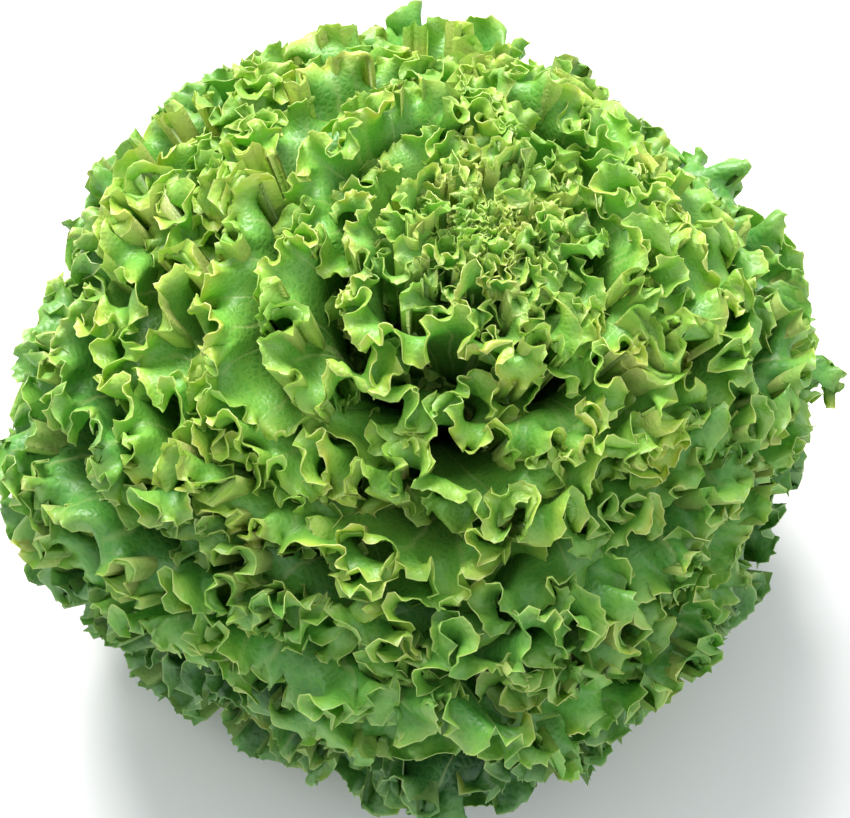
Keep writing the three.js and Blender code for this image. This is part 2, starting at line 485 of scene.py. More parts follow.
@dataclass(frozen=True)
class FanGrid:
    """How finely a leaf is meshed: its columns double, row by row, towards the frilled edge."""

    columns: int
    rows: int
    halvings: tuple[int, ...]  # the rows, counted from the rib, where the columns double

    def columns_at(self, row: int) -> int:
        """How many columns the mesh has at a row."""
        return self.columns >> sum(row < halving for halving in self.halvings)

    def row_places(self) -> Array:
        """The rows' places from rib to edge, closer together near the edge."""
        return 1 - (1 - np.linspace(0, 1, self.rows + 1)) ** 2.1

    def numbering(self) -> list[Array]:
        """Numbers the vertices. Both sides of the leaf share the rib's.

        Returns:
            For each row, the vertex at each of its columns.
        """
        half = self.columns_at(0) // 2
        places = np.arange(2 * half + 1)
        numbers = [np.minimum(places, 2 * half - places)]
        first = half + 1
        for row in range(1, self.rows + 1):
            wide = self.columns_at(row) + 1
            numbers.append(first + np.arange(wide))
            first += wide
        return numbers

    def picks(self) -> tuple[Array, Array]:
        """Says where each vertex is taken from.

        Returns:
            Its row and its column on the full grid.
        """
        rows, columns = [], []
        for row in range(self.rows + 1):
            count = self.columns_at(row)
            taken = np.arange(count + 1 if row else count // 2 + 1) * (self.columns // count)
            rows.append(np.full(len(taken), row))
            columns.append(taken)
        return np.concatenate(rows), np.concatenate(columns)

    def triangles(self) -> Array:
        """Joins the vertices of one face: two triangles to a cell, or three where columns double.

        Returns:
            Three vertex numbers for each triangle.
        """
        numbers = self.numbering()
        out = []
        for row in range(self.rows):
            low, high = numbers[row], numbers[row + 1]
            if len(low) == len(high):
                out.append(np.stack([low[:-1], low[1:], high[1:]], -1))
                out.append(np.stack([low[:-1], high[1:], high[:-1]], -1))
            else:
                out.append(np.stack([low[:-1], high[1::2], high[:-1:2]], -1))
                out.append(np.stack([low[:-1], low[1:], high[1::2]], -1))
                out.append(np.stack([low[1:], high[2::2], high[1::2]], -1))
        return np.concatenate(out)

    def border(self) -> Array:
        """Walks round the face's open border: along the edge, then down one side and up the other.

        Returns:
            The vertices' numbers in that order.
        """
        numbers = self.numbering()
        right = [row[-1] for row in numbers[-2:0:-1]]
        left = [row[0] for row in numbers[:-1]]
        return np.concatenate([numbers[-1], right, left])


def add_piece(
    name: str, mesh: bpy.types.Mesh, material: bpy.types.Material, node: str
) -> bpy.types.Object:
    """Makes a finished mesh a piece of the head, and reports it.

    Args:
        name: the piece's name.
        mesh: its mesh, in place.
        material: its finish.
        node: the frame's node that it stands for.

    Returns:
        The object, linked to the scene.
    """
    mesh.materials.append(material)
    piece = bpy.data.objects.new(name, mesh)
    bpy.context.scene.collection.objects.link(piece)
    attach(piece, "root")
    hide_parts(node)
    log.info("%s: %d faces", name, len(mesh.polygons))
    return piece


@dataclass
class ShellMesh:
    """A closed triangle mesh with its map and its per-vertex measures."""

    vertices: Array
    triangles: Array
    corners: Array  # the map's place of each corner of each triangle
    rim: Array  # each vertex's place in the row of vertices round its face's border, or -1
    measures: dict[str, Array] = field(default_factory=dict)

    def to_mesh(self, name: str) -> bpy.types.Mesh:
        """Makes the Blender mesh, shaded smooth except across its thin rim.

        Args:
            name: the mesh's name.

        Returns:
            The mesh, with its map, its measures and its sharp edges.
        """
        mesh = bpy.data.meshes.new(name)
        count = len(self.triangles)
        mesh.vertices.add(len(self.vertices))
        mesh.vertices.foreach_set("co", self.vertices.astype(np.float32).ravel())
        mesh.loops.add(3 * count)
        mesh.loops.foreach_set("vertex_index", self.triangles.astype(np.int32).ravel())
        mesh.polygons.add(count)
        mesh.polygons.foreach_set("loop_start", np.arange(0, 3 * count, 3, dtype=np.int32))
        mesh.update(calc_edges=True)
        layer = mesh.uv_layers.new(name="OFBake")
        layer.uv.foreach_set("vector", self.corners.astype(np.float32).ravel())
        for key, values in self.measures.items():
            attribute = mesh.attributes.new(key, "FLOAT", "POINT")
            attribute.data.foreach_set("value", values.astype(np.float32))
        mesh.validate()
        mesh.shade_smooth()
        ends = np.empty(2 * len(mesh.edges), dtype=np.int32)
        mesh.edges.foreach_get("vertices", ends)
        ends = ends.reshape(-1, 2)
        same_face = (ends[:, 0] < len(self.rim) // 2) == (ends[:, 1] < len(self.rim) // 2)
        places = self.rim[ends]
        step = np.abs(places[:, 0] - places[:, 1])
        sharp = same_face & (places.min(axis=1) >= 0) & ((step == 1) | (step == self.rim.max()))
        marks = mesh.attributes.new("sharp_edge", "BOOLEAN", "EDGE")
        marks.data.foreach_set("value", sharp)
        return mesh


def vertex_normals(vertices: Array, triangles: Array) -> Array:
    """Normals at the vertices: the sum of the cross products of the triangles that meet there.

    Args:
        vertices: the points.
        triangles: three vertex numbers for each triangle.

    Returns:
        One normal of length 1 for each vertex.
    """
    a, b, c = (vertices[triangles[:, k]] for k in range(3))
    crosses = np.cross(b - a, c - a)
    out = np.zeros_like(vertices)
    for k in range(3):
        for axis in range(3):
            out[:, axis] += np.bincount(
                triangles[:, k], crosses[:, axis], minlength=len(vertices)
            )
    return unit(out)


def shell_from_sheet(sheet: Sheet, grid: FanGrid, outer: Array, inner: Array) -> ShellMesh:
    """Closes a sheet into a shell: one copy moved out along the normals, one moved in, and a rim.

    Args:
        sheet: the leaf's middle surface on the full grid.
        grid: which of its points become vertices, and how they are joined.
        outer: how far the outer face stands off the sheet, on the full grid.
        inner: how far the inner face stands off the sheet, on the full grid.

    Returns:
        The closed mesh, with the map and the leaf's measures on it.
    """
    rows, columns = grid.picks()
    middle = sheet.points[rows, columns]
    face = grid.triangles()
    normals = vertex_normals(middle, face)
    count = len(middle)
    vertices = np.concatenate(
        [
            middle + normals * outer[rows, columns][:, None],
            middle - normals * inner[rows, columns][:, None],
        ]
    )
    border = grid.border()
    after = np.roll(border, -1)
    rim = np.concatenate(
        [
            np.stack([border, after, after + count], -1),
            np.stack([border, after + count, border + count], -1),
        ]
    )
    triangles = np.concatenate([face, face[:, ::-1] + count, rim])
    # The outer face is mapped to the lower half of the unit square and the inner face to the upper.
    across = columns / grid.columns
    up = 0.49 * sheet.v[rows]
    place = np.concatenate([np.stack([across, up], -1), np.stack([across, 1 - up], -1)])
    corners = place[triangles]
    # The rib's vertices lie on both sides of the fan, so each triangle there takes its own side.
    on_rib = np.isin(triangles % count, np.arange(grid.columns_at(0) // 2 + 1))
    right_side = (corners[:, :, 0].max(axis=1) > 0.5)[:, None]
    flipped = on_rib & right_side
    corners[..., 0] = np.where(flipped, 1 - corners[..., 0], corners[..., 0])
    measures = {
        "edge_distance": sheet.from_edge[rows, columns],
        "rib_distance": sheet.from_rib[rows, columns],
        "along_rib": sheet.along_rib[rows, columns],
    }
    measures = {key: np.tile(values, 2) for key, values in measures.items()}
    places = np.full(count, -1)
    places[border] = np.arange(len(border))
    return ShellMesh(vertices, triangles, corners, np.tile(places, 2), measures)


# Leaves


@dataclass(frozen=True)
class LeafShape:
    """Everything that sets one leaf's shape."""

    number: int  # seeds the leaf's own unevenness
    bowl: Bowl
    azimuth: float  # the rib's direction round the stem, in radians
    half_width: float  # half the blade's width, along its bowl
    reach: float  # how much of its bowl the leaf takes up
    tilt: float  # how much further one side reaches than the other
    wrap: float  # the most that either side may go round the stem, in radians
    foot_half_width: float
    blade: float  # the blade's thickness
    rib: float  # how far the rib stands out at its foot
    rib_half_width: float
    ruffles: tuple[Ruffle, ...]
    teeth: Teeth
    grid: FanGrid
    lobes: float = 0.13  # how far the outline's lobes run out and in, as a share of the rays
    lobe_width: float = 24 * MM
    flop: float = 30.0  # how far the edge as a whole leans out of the leaf, in degrees
    flop_depth: float = 30 * MM  # how far in from the edge that lean begins
    blister: float = 0.7 * MM  # how high the blade puffs up between its veins
    widest_at: float = 0.75  # where along the leaf it is widest
    rib_end: float = 0.55  # where along the leaf its rib ends

    def outline(self, turn: Array) -> tuple[Array, Array]:
        """The leaf's flat outline, a blunt egg shape with a narrow foot.

        Args:
            turn: angles from -pi at one side of the foot over 0 at the tip to pi at the other.

        Returns:
            How far along the leaf each point is, from 0 to 1, and how far across, from -1 to 1.
        """
        size = np.abs(turn)
        over = size < np.pi / 2
        cosine = np.cos(size)
        along = self.widest_at + np.where(
            over,
            (1 - self.widest_at) * np.maximum(cosine, 0) ** 0.85,
            (self.widest_at - 0.02) * cosine,
        )
        foot = self.foot_half_width / self.half_width
        sine = np.clip(np.sin(size), 0, 1)
        across = np.where(over, sine**0.7, foot + (1 - foot) * sine**1.4)
        return along, across * np.sign(turn)

    def first_columns(self) -> Array:
        """A first guess at where the columns meet the outline: they thin out at the foot.

        Returns:
            Each column's angle.
        """
        turn = np.linspace(-np.pi, np.pi, 2001)
        density = 0.25 + 0.75 * (1 - ease(np.abs(turn), 0.6 * np.pi, 0.9 * np.pi))
        total = np.concatenate([[0.0], np.cumsum((density[1:] + density[:-1]) / 2)])
        wanted = np.linspace(0, total[-1], self.grid.columns + 1)
        return np.interp(wanted, total, turn)

    def even_columns(self, turn: Array, edge: Array) -> Array:
        """Moves the columns so that they share out the finished edge's length and its turning.
        The tip stays in the middle.

        Args:
            turn: the angles of the columns that the edge was worked out with.
            edge: the edge's points, one for each of those angles.

        Returns:
            The new angles, as many as before.
        """
        half = self.grid.columns // 2
        length = running_length(edge)
        ways = unit(np.diff(edge, axis=0))
        angles = np.arccos(np.clip((ways[1:] * ways[:-1]).sum(axis=-1), -1, 1))
        bending = np.concatenate([[0.0, 0.0], np.cumsum(np.minimum(angles, 0.6))])
        sides = []
        for part in (slice(0, half + 1), slice(half, None)):
            way = length[part] - length[part][0]
            bent = bending[part] - bending[part][0]
            spread = 0.6 * way / way[-1] + 0.28 * bent / bent[-1]
            spread = spread + 0.12 * np.linspace(0, 1, half + 1)
            sides.append(np.interp(np.linspace(0, 1, half + 1), spread, turn[part]))
        return np.concatenate([sides[0], sides[1][1:]])

    def flat_sheet(self, head: HeadForm, turn: Array) -> Sheet:
        """The leaf before it ruffles: straight rays from rib to outline, laid on the leaf's bowl.

        Args:
            head: the head that the leaf is part of.
            turn: the angle of each column round the outline.

        Returns:
            The sheet, with its measures.
        """
        along, across = self.outline(turn)
        size = (np.abs(turn) + np.abs(turn[::-1])) / 2
        root = self.rib_end * (1 - size / np.pi) ** 1.15
        v = self.grid.row_places()[:, None]
        round_edge = (turn / np.pi + 1) * 4.4 * self.half_width / self.lobe_width
        lobes = self.lobes * wander(round_edge, (self.number, 77)) * (1 - ease(np.abs(turn), 1.6, 2.4))
        stretched = v * (1 + lobes[None, :] * v)
        u = mix(root[None, :], along[None, :], stretched)
        w = across[None, :] * stretched
        t = u * self.reach * (1 + ease(u, 0, 1) * self.tilt * w)
        place = self.bowl.point(t)
        sector = self.half_width / place[..., 0]
        sector = sector / (1 + (sector / self.wrap) ** 4) ** 0.25
        azimuth = self.azimuth + w * sector
        radius, height = head.billow(place[..., 0], azimuth, place[..., 1])
        points = head.bend(radius, azimuth, height)
        steps = np.linalg.norm(np.diff(points, axis=0), axis=-1)
        from_rib = np.concatenate([np.zeros((1, steps.shape[1])), np.cumsum(steps, axis=0)])
        from_edge = from_rib[-1] - from_rib
        held = 1 - ease(np.abs(turn), 0.52 * np.pi, 0.85 * np.pi)
        held = held * ease(from_rib[-1] / from_rib[-1].max(), 0.1, 0.45)
        freedom = held[None, :] * ease(v, 0.0, 0.4)
        return Sheet(points, v[:, 0], from_edge, np.abs(w) * self.half_width, u, freedom)

    def ruffled_sheet(self, head: HeadForm, turn: Array) -> Sheet:
        """The leaf with its blisters, its edge flopping outwards, and every order of its waves.

        Args:
            head: the head that the leaf is part of.
            turn: the angle of each column round the outline.

        Returns:
            The sheet.
        """
        sheet = self.flat_sheet(head, turn)
        normal, _, _ = sheet.directions()
        blisters = self.blister * SoftField(19 * MM, self.number).at(sheet.points)
        sheet.points = sheet.points + normal * (blisters * sheet.freedom)[..., None]
        flop = np.clip(1 - sheet.from_edge / self.flop_depth, 0, 1) * sheet.freedom
        flop = math.radians(self.flop) * flop
        sheet.curl_over(flop, flop)
        for order, ruffle in enumerate(self.ruffles):
            ruffle.shape(sheet, (self.number, order))
        return sheet

    def build(self, head: HeadForm) -> ShellMesh:
        """Ruffles the leaf twice, the second time with its columns spread evenly over the edge
        that came out, and closes it into a shell with teeth round it and a rib on its outer face.

        Args:
            head: the head that the leaf is part of.

        Returns:
            The closed leaf.
        """
        turn = self.first_columns()
        turn = self.even_columns(turn, self.ruffled_sheet(head, turn).points[-1])
        sheet = self.ruffled_sheet(head, turn)
        self.teeth.shape(sheet, (self.number,))
        height = sheet.points[..., 2]
        sheet.points[..., 2] = (height + np.sqrt(height**2 + (2 * MM) ** 2)) / 2
        rib = np.exp(-((sheet.from_rib / self.rib_half_width) ** 2)) * (1 - sheet.along_rib) ** 1.2
        thin = mix(0.55, 1.0, ease(sheet.from_edge, 0, 4 * MM))
        outer = self.blade / 2 * thin + self.rib * np.clip(rib, 0, 1)
        return shell_from_sheet(sheet, self.grid, outer, self.blade / 2 * thin)


# Finishes


class Nodes:
    """Adds nodes to a node tree and joins them, with little typing."""

    def __init__(self, tree: bpy.types.NodeTree) -> None:
        """Starts on an empty tree."""
        self.tree = tree
        tree.nodes.clear()

    def add(
        self, kind: str, inputs: dict[str | int, object] | None = None, **settings: object
    ) -> bpy.types.Node:
        """Adds one node.

        Args:
            kind: the node's type name.
            inputs: what each input takes, a value or the output socket of another node.
            settings: the node's own properties.

        Returns:
            The node.
        """
        node = self.tree.nodes.new(kind)
        for key, value in settings.items():
            setattr(node, key, value)
        for key, value in (inputs or {}).items():
            if isinstance(value, bpy.types.NodeSocket):
                self.tree.links.new(value, node.inputs[key])
            else:
                node.inputs[key].default_value = value
        return node

    def math(self, operation: str, *values: object) -> bpy.types.NodeSocket:
        """Does one sum on numbers."""
        return self.add("ShaderNodeMath", dict(enumerate(values)), operation=operation).outputs[0]

    def blend(self, share: object, first: object, second: object) -> bpy.types.NodeSocket:
        """Mixes two colours by a share."""
        return self.add("ShaderNodeMix", {0: share, 6: first, 7: second}, data_type="RGBA").outputs[2]

    def band(
        self, value: object, start: float, end: float, low: float = 0.0, high: float = 1.0
    ) -> bpy.types.NodeSocket:
        """Maps a number smoothly from one range to another."""
        inputs = {0: value, 1: start, 2: end, 3: low, 4: high}
        return self.add("ShaderNodeMapRange", inputs, interpolation_type="SMOOTHSTEP").outputs[0]

    def attribute(self, name: str) -> bpy.types.NodeSocket:
        """Reads one of the leaf's measures."""
        return self.add("ShaderNodeAttribute", attribute_name=name).outputs["Fac"]


def colour(red: float, green: float, blue: float) -> tuple[float, float, float, float]:
    """A colour as the linear values that shaders take.

    Args:
        red: its screen value of 0 to 255, as for the next two.
        green: its screen value.
        blue: its screen value.

    Returns:
        The colour with an alpha of 1.
    """
    screen = np.array([red, green, blue]) / 255.0
    linear = np.where(screen <= 0.04045, screen / 12.92, ((screen + 0.055) / 1.055) ** 2.4)
    return (*map(float, linear), 1.0)


def group_tree(name: str, inputs: Iterable[tuple], outputs: Iterable[tuple]) -> bpy.types.NodeTree:
    """Makes an empty shader group with its sockets.

    Args:
        name: the group's name.
        inputs: (name, socket type, default) for each input.
        outputs: (name, socket type) for each output.

    Returns:
        The group.
    """
    tree = bpy.data.node_groups.new(name, "ShaderNodeTree")
    for label, kind, default in inputs:
        socket = tree.interface.new_socket(name=label, in_out="INPUT", socket_type=kind)
        socket.default_value = default
    for label, kind in outputs:
        tree.interface.new_socket(name=label, in_out="OUTPUT", socket_type=kind)
    return tree


class SharedEffects:
    """The shader groups that several finishes use, each built once."""

    def __init__(self) -> None:
        """Builds the groups."""
        self.mottle = self.build_mottle()
        self.veins = self.build_veins()
        self.edging = self.build_edging()

    @staticmethod
    def build_mottle() -> bpy.types.NodeTree:
        """Soft patches of two colours, in two sizes of noise laid through the whole head.

        Returns:
            The group.
        """
        tree = group_tree(
            "soft_mottle",
            [
                ("Light", "NodeSocketColor", (1, 1, 1, 1)),
                ("Dark", "NodeSocketColor", (0, 0, 0, 1)),
                ("Patch Scale", "NodeSocketFloat", 30.0),
            ],
            [("Color", "NodeSocketColor")],
        )
        kit = Nodes(tree)
        given = kit.add("NodeGroupInput")
        place = kit.add("ShaderNodeTexCoord").outputs["Object"]
        broad = kit.add("ShaderNodeTexNoise", {"Vector": place, "Scale": given.outputs[2], "Detail": 2.0})
        fine_scale = kit.math("MULTIPLY", given.outputs[2], 5.5)
        fine = kit.add("ShaderNodeTexNoise", {"Vector": place, "Scale": fine_scale, "Detail": 3.0})
        both = kit.math("MULTIPLY_ADD", fine.outputs[0], 0.45, kit.math("MULTIPLY", broad.outputs[0], 0.75))
        share = kit.band(both, 0.4, 0.8)
        kit.add("NodeGroupOutput", {0: kit.blend(share, given.outputs[0], given.outputs[1])})
        return tree

    @staticmethod
    def build_veins() -> bpy.types.NodeTree:
        """Side veins that leave the rib along the leaf's rays, and the net of small cells between.

        Returns:
            The group.
        """
        tree = group_tree(
            "leaf_veins",
            [
                ("Side Veins", "NodeSocketFloat", 22.0),
                ("Cell Scale", "NodeSocketFloat", 320.0),
            ],
            [
                ("Vein", "NodeSocketFloat"),
                ("Net", "NodeSocketFloat"),
                ("Height", "NodeSocketFloat"),
            ],
        )
        kit = Nodes(tree)
        given = kit.add("NodeGroupInput")
        coordinates = kit.add("ShaderNodeTexCoord")
        own_map = kit.add("ShaderNodeUVMap", uv_map="OFBake")
        sides = kit.add("ShaderNodeSeparateXYZ", {0: own_map.outputs[0]})
        bend = kit.add("ShaderNodeTexNoise", {"Vector": coordinates.outputs["Object"], "Scale": 60.0})
        turns = kit.math("MULTIPLY", sides.outputs[0], given.outputs[0])
        turns = kit.math("MULTIPLY_ADD", bend.outputs[0], 0.5, turns)
        off_line = kit.math("ABSOLUTE", kit.math("SUBTRACT", kit.math("FRACT", turns), 0.5))
        from_edge = kit.attribute("edge_distance")
        vein = kit.band(off_line, 0.0, 0.07, 1.0, 0.0)
        vein = kit.math("MULTIPLY", vein, kit.band(from_edge, 2 * MM, 18 * MM))
        cells = kit.add(
            "ShaderNodeTexVoronoi",
            {"Vector": coordinates.outputs["Object"], "Scale": given.outputs[1]},
            feature="DISTANCE_TO_EDGE",
        )
        net = kit.band(cells.outputs[0], 0.0, 0.16, 1.0, 0.0)
        pucker = kit.band(cells.outputs[0], 0.0, 0.4)
        height = kit.math("SUBTRACT", pucker, kit.math("MULTIPLY", vein, 0.8))
        kit.add("NodeGroupOutput", {0: vein, 1: net, 2: height})
        return tree

    @staticmethod
    def build_edging() -> bpy.types.NodeTree:
        """A broad tint that grows towards the leaf's edge and a thin pale line along it, a painted highlight
        where the edge catches the light.

        Returns:
            The group.
        """
        tree = group_tree(
            "edge_tint_and_highlight",
            [
                ("Leaf", "NodeSocketColor", (0, 0, 0, 1)),
                ("Tint", "NodeSocketColor", (1, 1, 0, 1)),
                ("Line", "NodeSocketColor", (1, 1, 1, 1)),
                ("Warm", "NodeSocketColor", (1, 0.5, 0, 1)),
                ("Tint Width", "NodeSocketFloat", 0.01),
                ("Tint Strength", "NodeSocketFloat", 0.6),
                ("Edge Highlight Width", "NodeSocketFloat", 0.0006),
            ],
            [("Color", "NodeSocketColor")],
        )
        kit = Nodes(tree)
        given = kit.add("NodeGroupInput")
        from_edge = kit.attribute("edge_distance")
        place = kit.add("ShaderNodeTexCoord").outputs["Object"]
        patches = kit.add("ShaderNodeTexNoise", {"Vector": place, "Scale": 55.0, "Detail": 2.0})
        near = kit.math("SUBTRACT", 1.0, kit.math("DIVIDE", from_edge, given.outputs["Tint Width"]))
        near = kit.math("MAXIMUM", near, 0.0)
        uneven = kit.band(patches.outputs[0], 0.3, 0.7, 0.35, 1.3)
        share = kit.math("MULTIPLY", kit.math("POWER", near, 1.6), uneven)
        share = kit.math("MULTIPLY", share, given.outputs["Tint Strength"])
        share = kit.math("MINIMUM", share, 1.0)
        tinted = kit.blend(share, given.outputs[0], given.outputs[1])
        warmth = kit.band(patches.outputs[0], 0.56, 0.72, 0.0, 0.5)
        warmth = kit.math("MULTIPLY", warmth, kit.band(from_edge, 0.0, 3.5 * MM, 1.0, 0.0))
        tinted = kit.blend(warmth, tinted, given.outputs["Warm"])
        # Painted highlight: a thin pale line right at the edge, where the leaf's thickness catches the
        # light, patchy along its length.
        off_line = kit.math("DIVIDE", from_edge, given.outputs["Edge Highlight Width"])
        highlight_patchiness = kit.band(patches.outputs[0], 0.32, 0.68, 0.25, 0.8)
        edge_highlight = kit.math("MULTIPLY", kit.band(off_line, 0.3, 1.0, 1.0, 0.0), highlight_patchiness)
        highlighted = kit.blend(edge_highlight, tinted, given.outputs[2])
        kit.add("NodeGroupOutput", {0: highlighted})
        return tree


@dataclass(frozen=True)
class LeafFinish:
    """The finish of one band of leaves."""

    name: str
    light: tuple
    dark: tuple
    tint: tuple
    # The pale colour of the painted highlight along the leaf's edge.
    edge_highlight: tuple
    rib: tuple
    tint_width: float
    tint_strength: float
    warm: tuple = colour(214, 202, 76)
    glow: float = 0.38  # the share of light that passes through the blade
    roughness: float = 0.44
    patch_scale: float = 24.0
    cell_scale: float = 320.0
    bump: float = 0.28
    side_veins: float = 22.0
    painted_shade: float = 0.52  # painted shade: how dark the blade is painted far from its edge, where shade falls between the leaves, as a share of its dark colour
    pale_foot: float = 0.7  # how far the leaf pales to its rib's colour at the foot

    def material(self, effects: SharedEffects) -> bpy.types.Material:
        """Builds the material: a satin leaf that lets light through, with veins, a pale rib, painted shade
        deep in the blade and a painted highlight along its edge.

        Args:
            effects: the shared shader groups.

        Returns:
            A satin leaf that lets light through, with veins, a pale rib, painted shade away from its edge
            and a thin bright edge that is a painted highlight.
        """
        material = bpy.data.materials.new(self.name)
        material.use_nodes = True
        kit = Nodes(material.node_tree)
        patches = {"Light": self.light, "Dark": self.dark, "Patch Scale": self.patch_scale}
        mottle = kit.add("ShaderNodeGroup", patches, node_tree=effects.mottle)
        cells = {"Cell Scale": self.cell_scale, "Side Veins": self.side_veins}
        veins = kit.add("ShaderNodeGroup", cells, node_tree=effects.veins)
        from_edge = kit.attribute("edge_distance")
        # Painted shade: the blade darkens from 9 mm to 30 mm in from its edge, where it lies in shade
        # between the leaves.
        painted_shade_mask = kit.band(from_edge, 9 * MM, 30 * MM, 0.0, 0.75)
        painted_shade = tuple(self.painted_shade * part for part in self.dark[:3]) + (1.0,)
        blade = kit.blend(painted_shade_mask, mottle.outputs[0], painted_shade)
        netted = kit.blend(kit.math("MULTIPLY", veins.outputs["Net"], 0.16), blade, self.tint)
        veined = kit.blend(kit.math("MULTIPLY", veins.outputs["Vein"], 0.45), netted, self.rib)
        edge = {
            "Leaf": veined,
            "Tint": self.tint,
            "Line": self.edge_highlight,
            "Warm": self.warm,
            "Tint Width": self.tint_width,
            "Tint Strength": self.tint_strength,
        }
        edging = kit.add("ShaderNodeGroup", edge, node_tree=effects.edging)
        from_rib = kit.attribute("rib_distance")
        along = kit.attribute("along_rib")
        rib_width = kit.math("MULTIPLY_ADD", along, -6 * MM, 7 * MM)
        on_rib = kit.band(kit.math("DIVIDE", from_rib, rib_width), 0.4, 1.0, 1.0, 0.0)
        on_rib = kit.math("MULTIPLY", on_rib, kit.band(along, 0.45, 0.9, 1.0, 0.25))
        foot = kit.band(along, 0.05, 0.42, self.pale_foot, 0.0)
        pale = kit.math("MAXIMUM", on_rib, foot)
        shown = kit.blend(pale, edging.outputs[0], self.rib)
        bump = kit.add(
            "ShaderNodeBump",
            {"Height": veins.outputs["Height"], "Strength": self.bump, "Distance": 0.6 * MM},
        )
        surface = kit.add(
            "ShaderNodeBsdfPrincipled",
            {"Base Color": shown, "Normal": bump.outputs[0], "Roughness": self.roughness},
        )
        surface.inputs["Specular IOR Level"].default_value = 0.9
        through = kit.add("ShaderNodeBsdfTranslucent", {"Color": shown, "Normal": bump.outputs[0]})
        both = kit.add("ShaderNodeMixShader", {0: self.glow, 1: surface.outputs[0], 2: through.outputs[0]})
        kit.add("ShaderNodeOutputMaterial", {0: both.outputs[0]})
        return material


class Band(Enum):
    """Where in the head a leaf grows, which sets its finish."""

    OUTER = "outer_leaf"
    MIDDLE = "middle_leaf"
    INNER = "inner_leaf"
    HEART = "heart_leaf"


FINISHES = {
    Band.OUTER: LeafFinish(
        name="outer_leaf_green",
        light=colour(83, 152, 69),
        dark=colour(46, 111, 51),
        tint=colour(142, 196, 92),
        edge_highlight=colour(194, 220, 140),
        rib=colour(190, 214, 140),
        tint_width=12 * MM,
        tint_strength=0.6,
    ),
    Band.MIDDLE: LeafFinish(
        name="middle_leaf_green",
        light=colour(120, 198, 82),
        dark=colour(82, 162, 64),
        tint=colour(176, 214, 92),
        edge_highlight=colour(220, 232, 146),
        rib=colour(200, 222, 140),
        tint_width=12 * MM,
        tint_strength=0.75,
    ),
    Band.INNER: LeafFinish(
        name="inner_leaf_green",
        light=colour(148, 217, 90),
        dark=colour(110, 187, 70),
        tint=colour(200, 226, 92),
        edge_highlight=colour(228, 236, 150),
        rib=colour(208, 226, 144),
        tint_width=10 * MM,
        tint_strength=0.9,
        cell_scale=420.0,
    ),
    Band.HEART: LeafFinish(
        name="heart_leaf_green",
        light=colour(166, 224, 108),
        dark=colour(130, 200, 88),
        tint=colour(206, 228, 104),
        edge_highlight=colour(226, 238, 150),
        rib=colour(208, 226, 144),
        tint_width=5 * MM,
        tint_strength=0.8,
        pale_foot=0.3,
        cell_scale=600.0,
    ),
}


# Sub-assemblies


@dataclass
class Foliage:
    """The full-grown leaves, on a spiral round the stem, from the outermost to the innermost."""

    head: HeadForm
    count: int = 57
    first_azimuth: float = 266.0
    outer_sector: float = 47.0  # half the part of the round that an outermost leaf spans, in degrees
    inner_sector: float = 84.0  # the same for an innermost leaf
    wrap: float = 86.0  # the most that either side of a leaf may go round the stem, in degrees
    tilt: float = 0.07

    def band(self, number: int) -> Band:
        """The band that a leaf belongs to, in thirds from the outside in."""
        youth = (number - 1) / (self.count - 1)
        return (Band.OUTER, Band.MIDDLE, Band.INNER)[min(2, int(youth * 3))]

    def ruffles(self, youth: float) -> tuple[Ruffle, ...]:
        """The orders of waves on a leaf's edge, shorter on younger leaves. The lowest leaves'
        edges turn up off the ground.

        Args:
            youth: 0 for the outermost leaf and 1 for the innermost.

        Returns:
            Three orders, the longest waves first.
        """
        grounded = 1 - float(ease(youth, 0.0, 0.14))
        return (
            Ruffle(
                wavelength=mix(76, 50, youth) * MM,
                lean=42,
                depth=0.58,
                pinch=0.1,
                flare=mix(0.0, -0.8, grounded),
            ),
            Ruffle(
                wavelength=mix(35, 20, youth**0.85) * MM,
                lean=mix(64, 80, float(ease(youth, 0.0, 0.5))),
                depth=mix(0.58, 0.7, float(ease(youth, 0.1, 0.6))),
                pinch=0.22,
                flare=mix(0.1, -0.6, grounded),
                unevenness=0.5,
            ),
            Ruffle(
                wavelength=mix(18, 12, youth) * MM,
                lean=42,
                depth=0.55,
                pinch=0.24,
                unevenness=0.8,
                curl=1.2,
            ),
        )

    def shape(self, number: int) -> LeafShape:
        """The shape of one leaf.

        Args:
            number: its place in the spiral. Number 1 is the outermost.

        Returns:
            Its shape.
        """
        k = number - 1
        youth = k / (self.count - 1)
        bowl = self.head.bowl(youth)
        sector = math.radians(mix(self.outer_sector, self.inner_sector, youth))
        azimuth = self.first_azimuth + k * GOLDEN_ANGLE + mix(-5, 5, chance(k, 2))
        return LeafShape(
            number=number,
            bowl=bowl,
            azimuth=math.radians(azimuth),
            half_width=bowl.tip[0] * sector * mix(0.94, 1.04, chance(k, 1)),
            reach=mix(0.92, 0.99, chance(k, 3)),
            tilt=mix(-self.tilt, self.tilt, chance(k, 12)),
            wrap=math.radians(self.wrap),
            foot_half_width=6 * MM,
            blade=0.55 * MM,
            rib=mix(3.2, 1.2, youth) * MM,
            rib_half_width=mix(4.5, 3.0, youth) * MM,
            flop=mix(5, 34, float(ease(youth, 0.0, 0.3))),
            lobes=mix(0.09, 0.035, float(ease(youth, 0.35, 0.95))),
            flop_depth=mix(30, 24, youth) * MM,
            ruffles=self.ruffles(youth),
            teeth=Teeth((2.8 * MM, 5.4 * MM), height=mix(1.6, 0.8, youth) * MM),
            grid=FanGrid(columns=32 * int(mix(40, 30, youth)), rows=18, halvings=(5, 9, 13, 16)),
        )

    def build(self, materials: dict[Band, bpy.types.Material]) -> None:
        """Builds every leaf and ties it to its solid in the frame.

        Args:
            materials: the finish of each band.
        """
        for number in range(1, self.count + 1):
            band = self.band(number)
            name = f"frilled_leaf_{number:02d}"
            mesh = self.shape(number).build(self.head).to_mesh(name)
            add_piece(name, mesh, materials[band], f"leaf_{number:02d}")


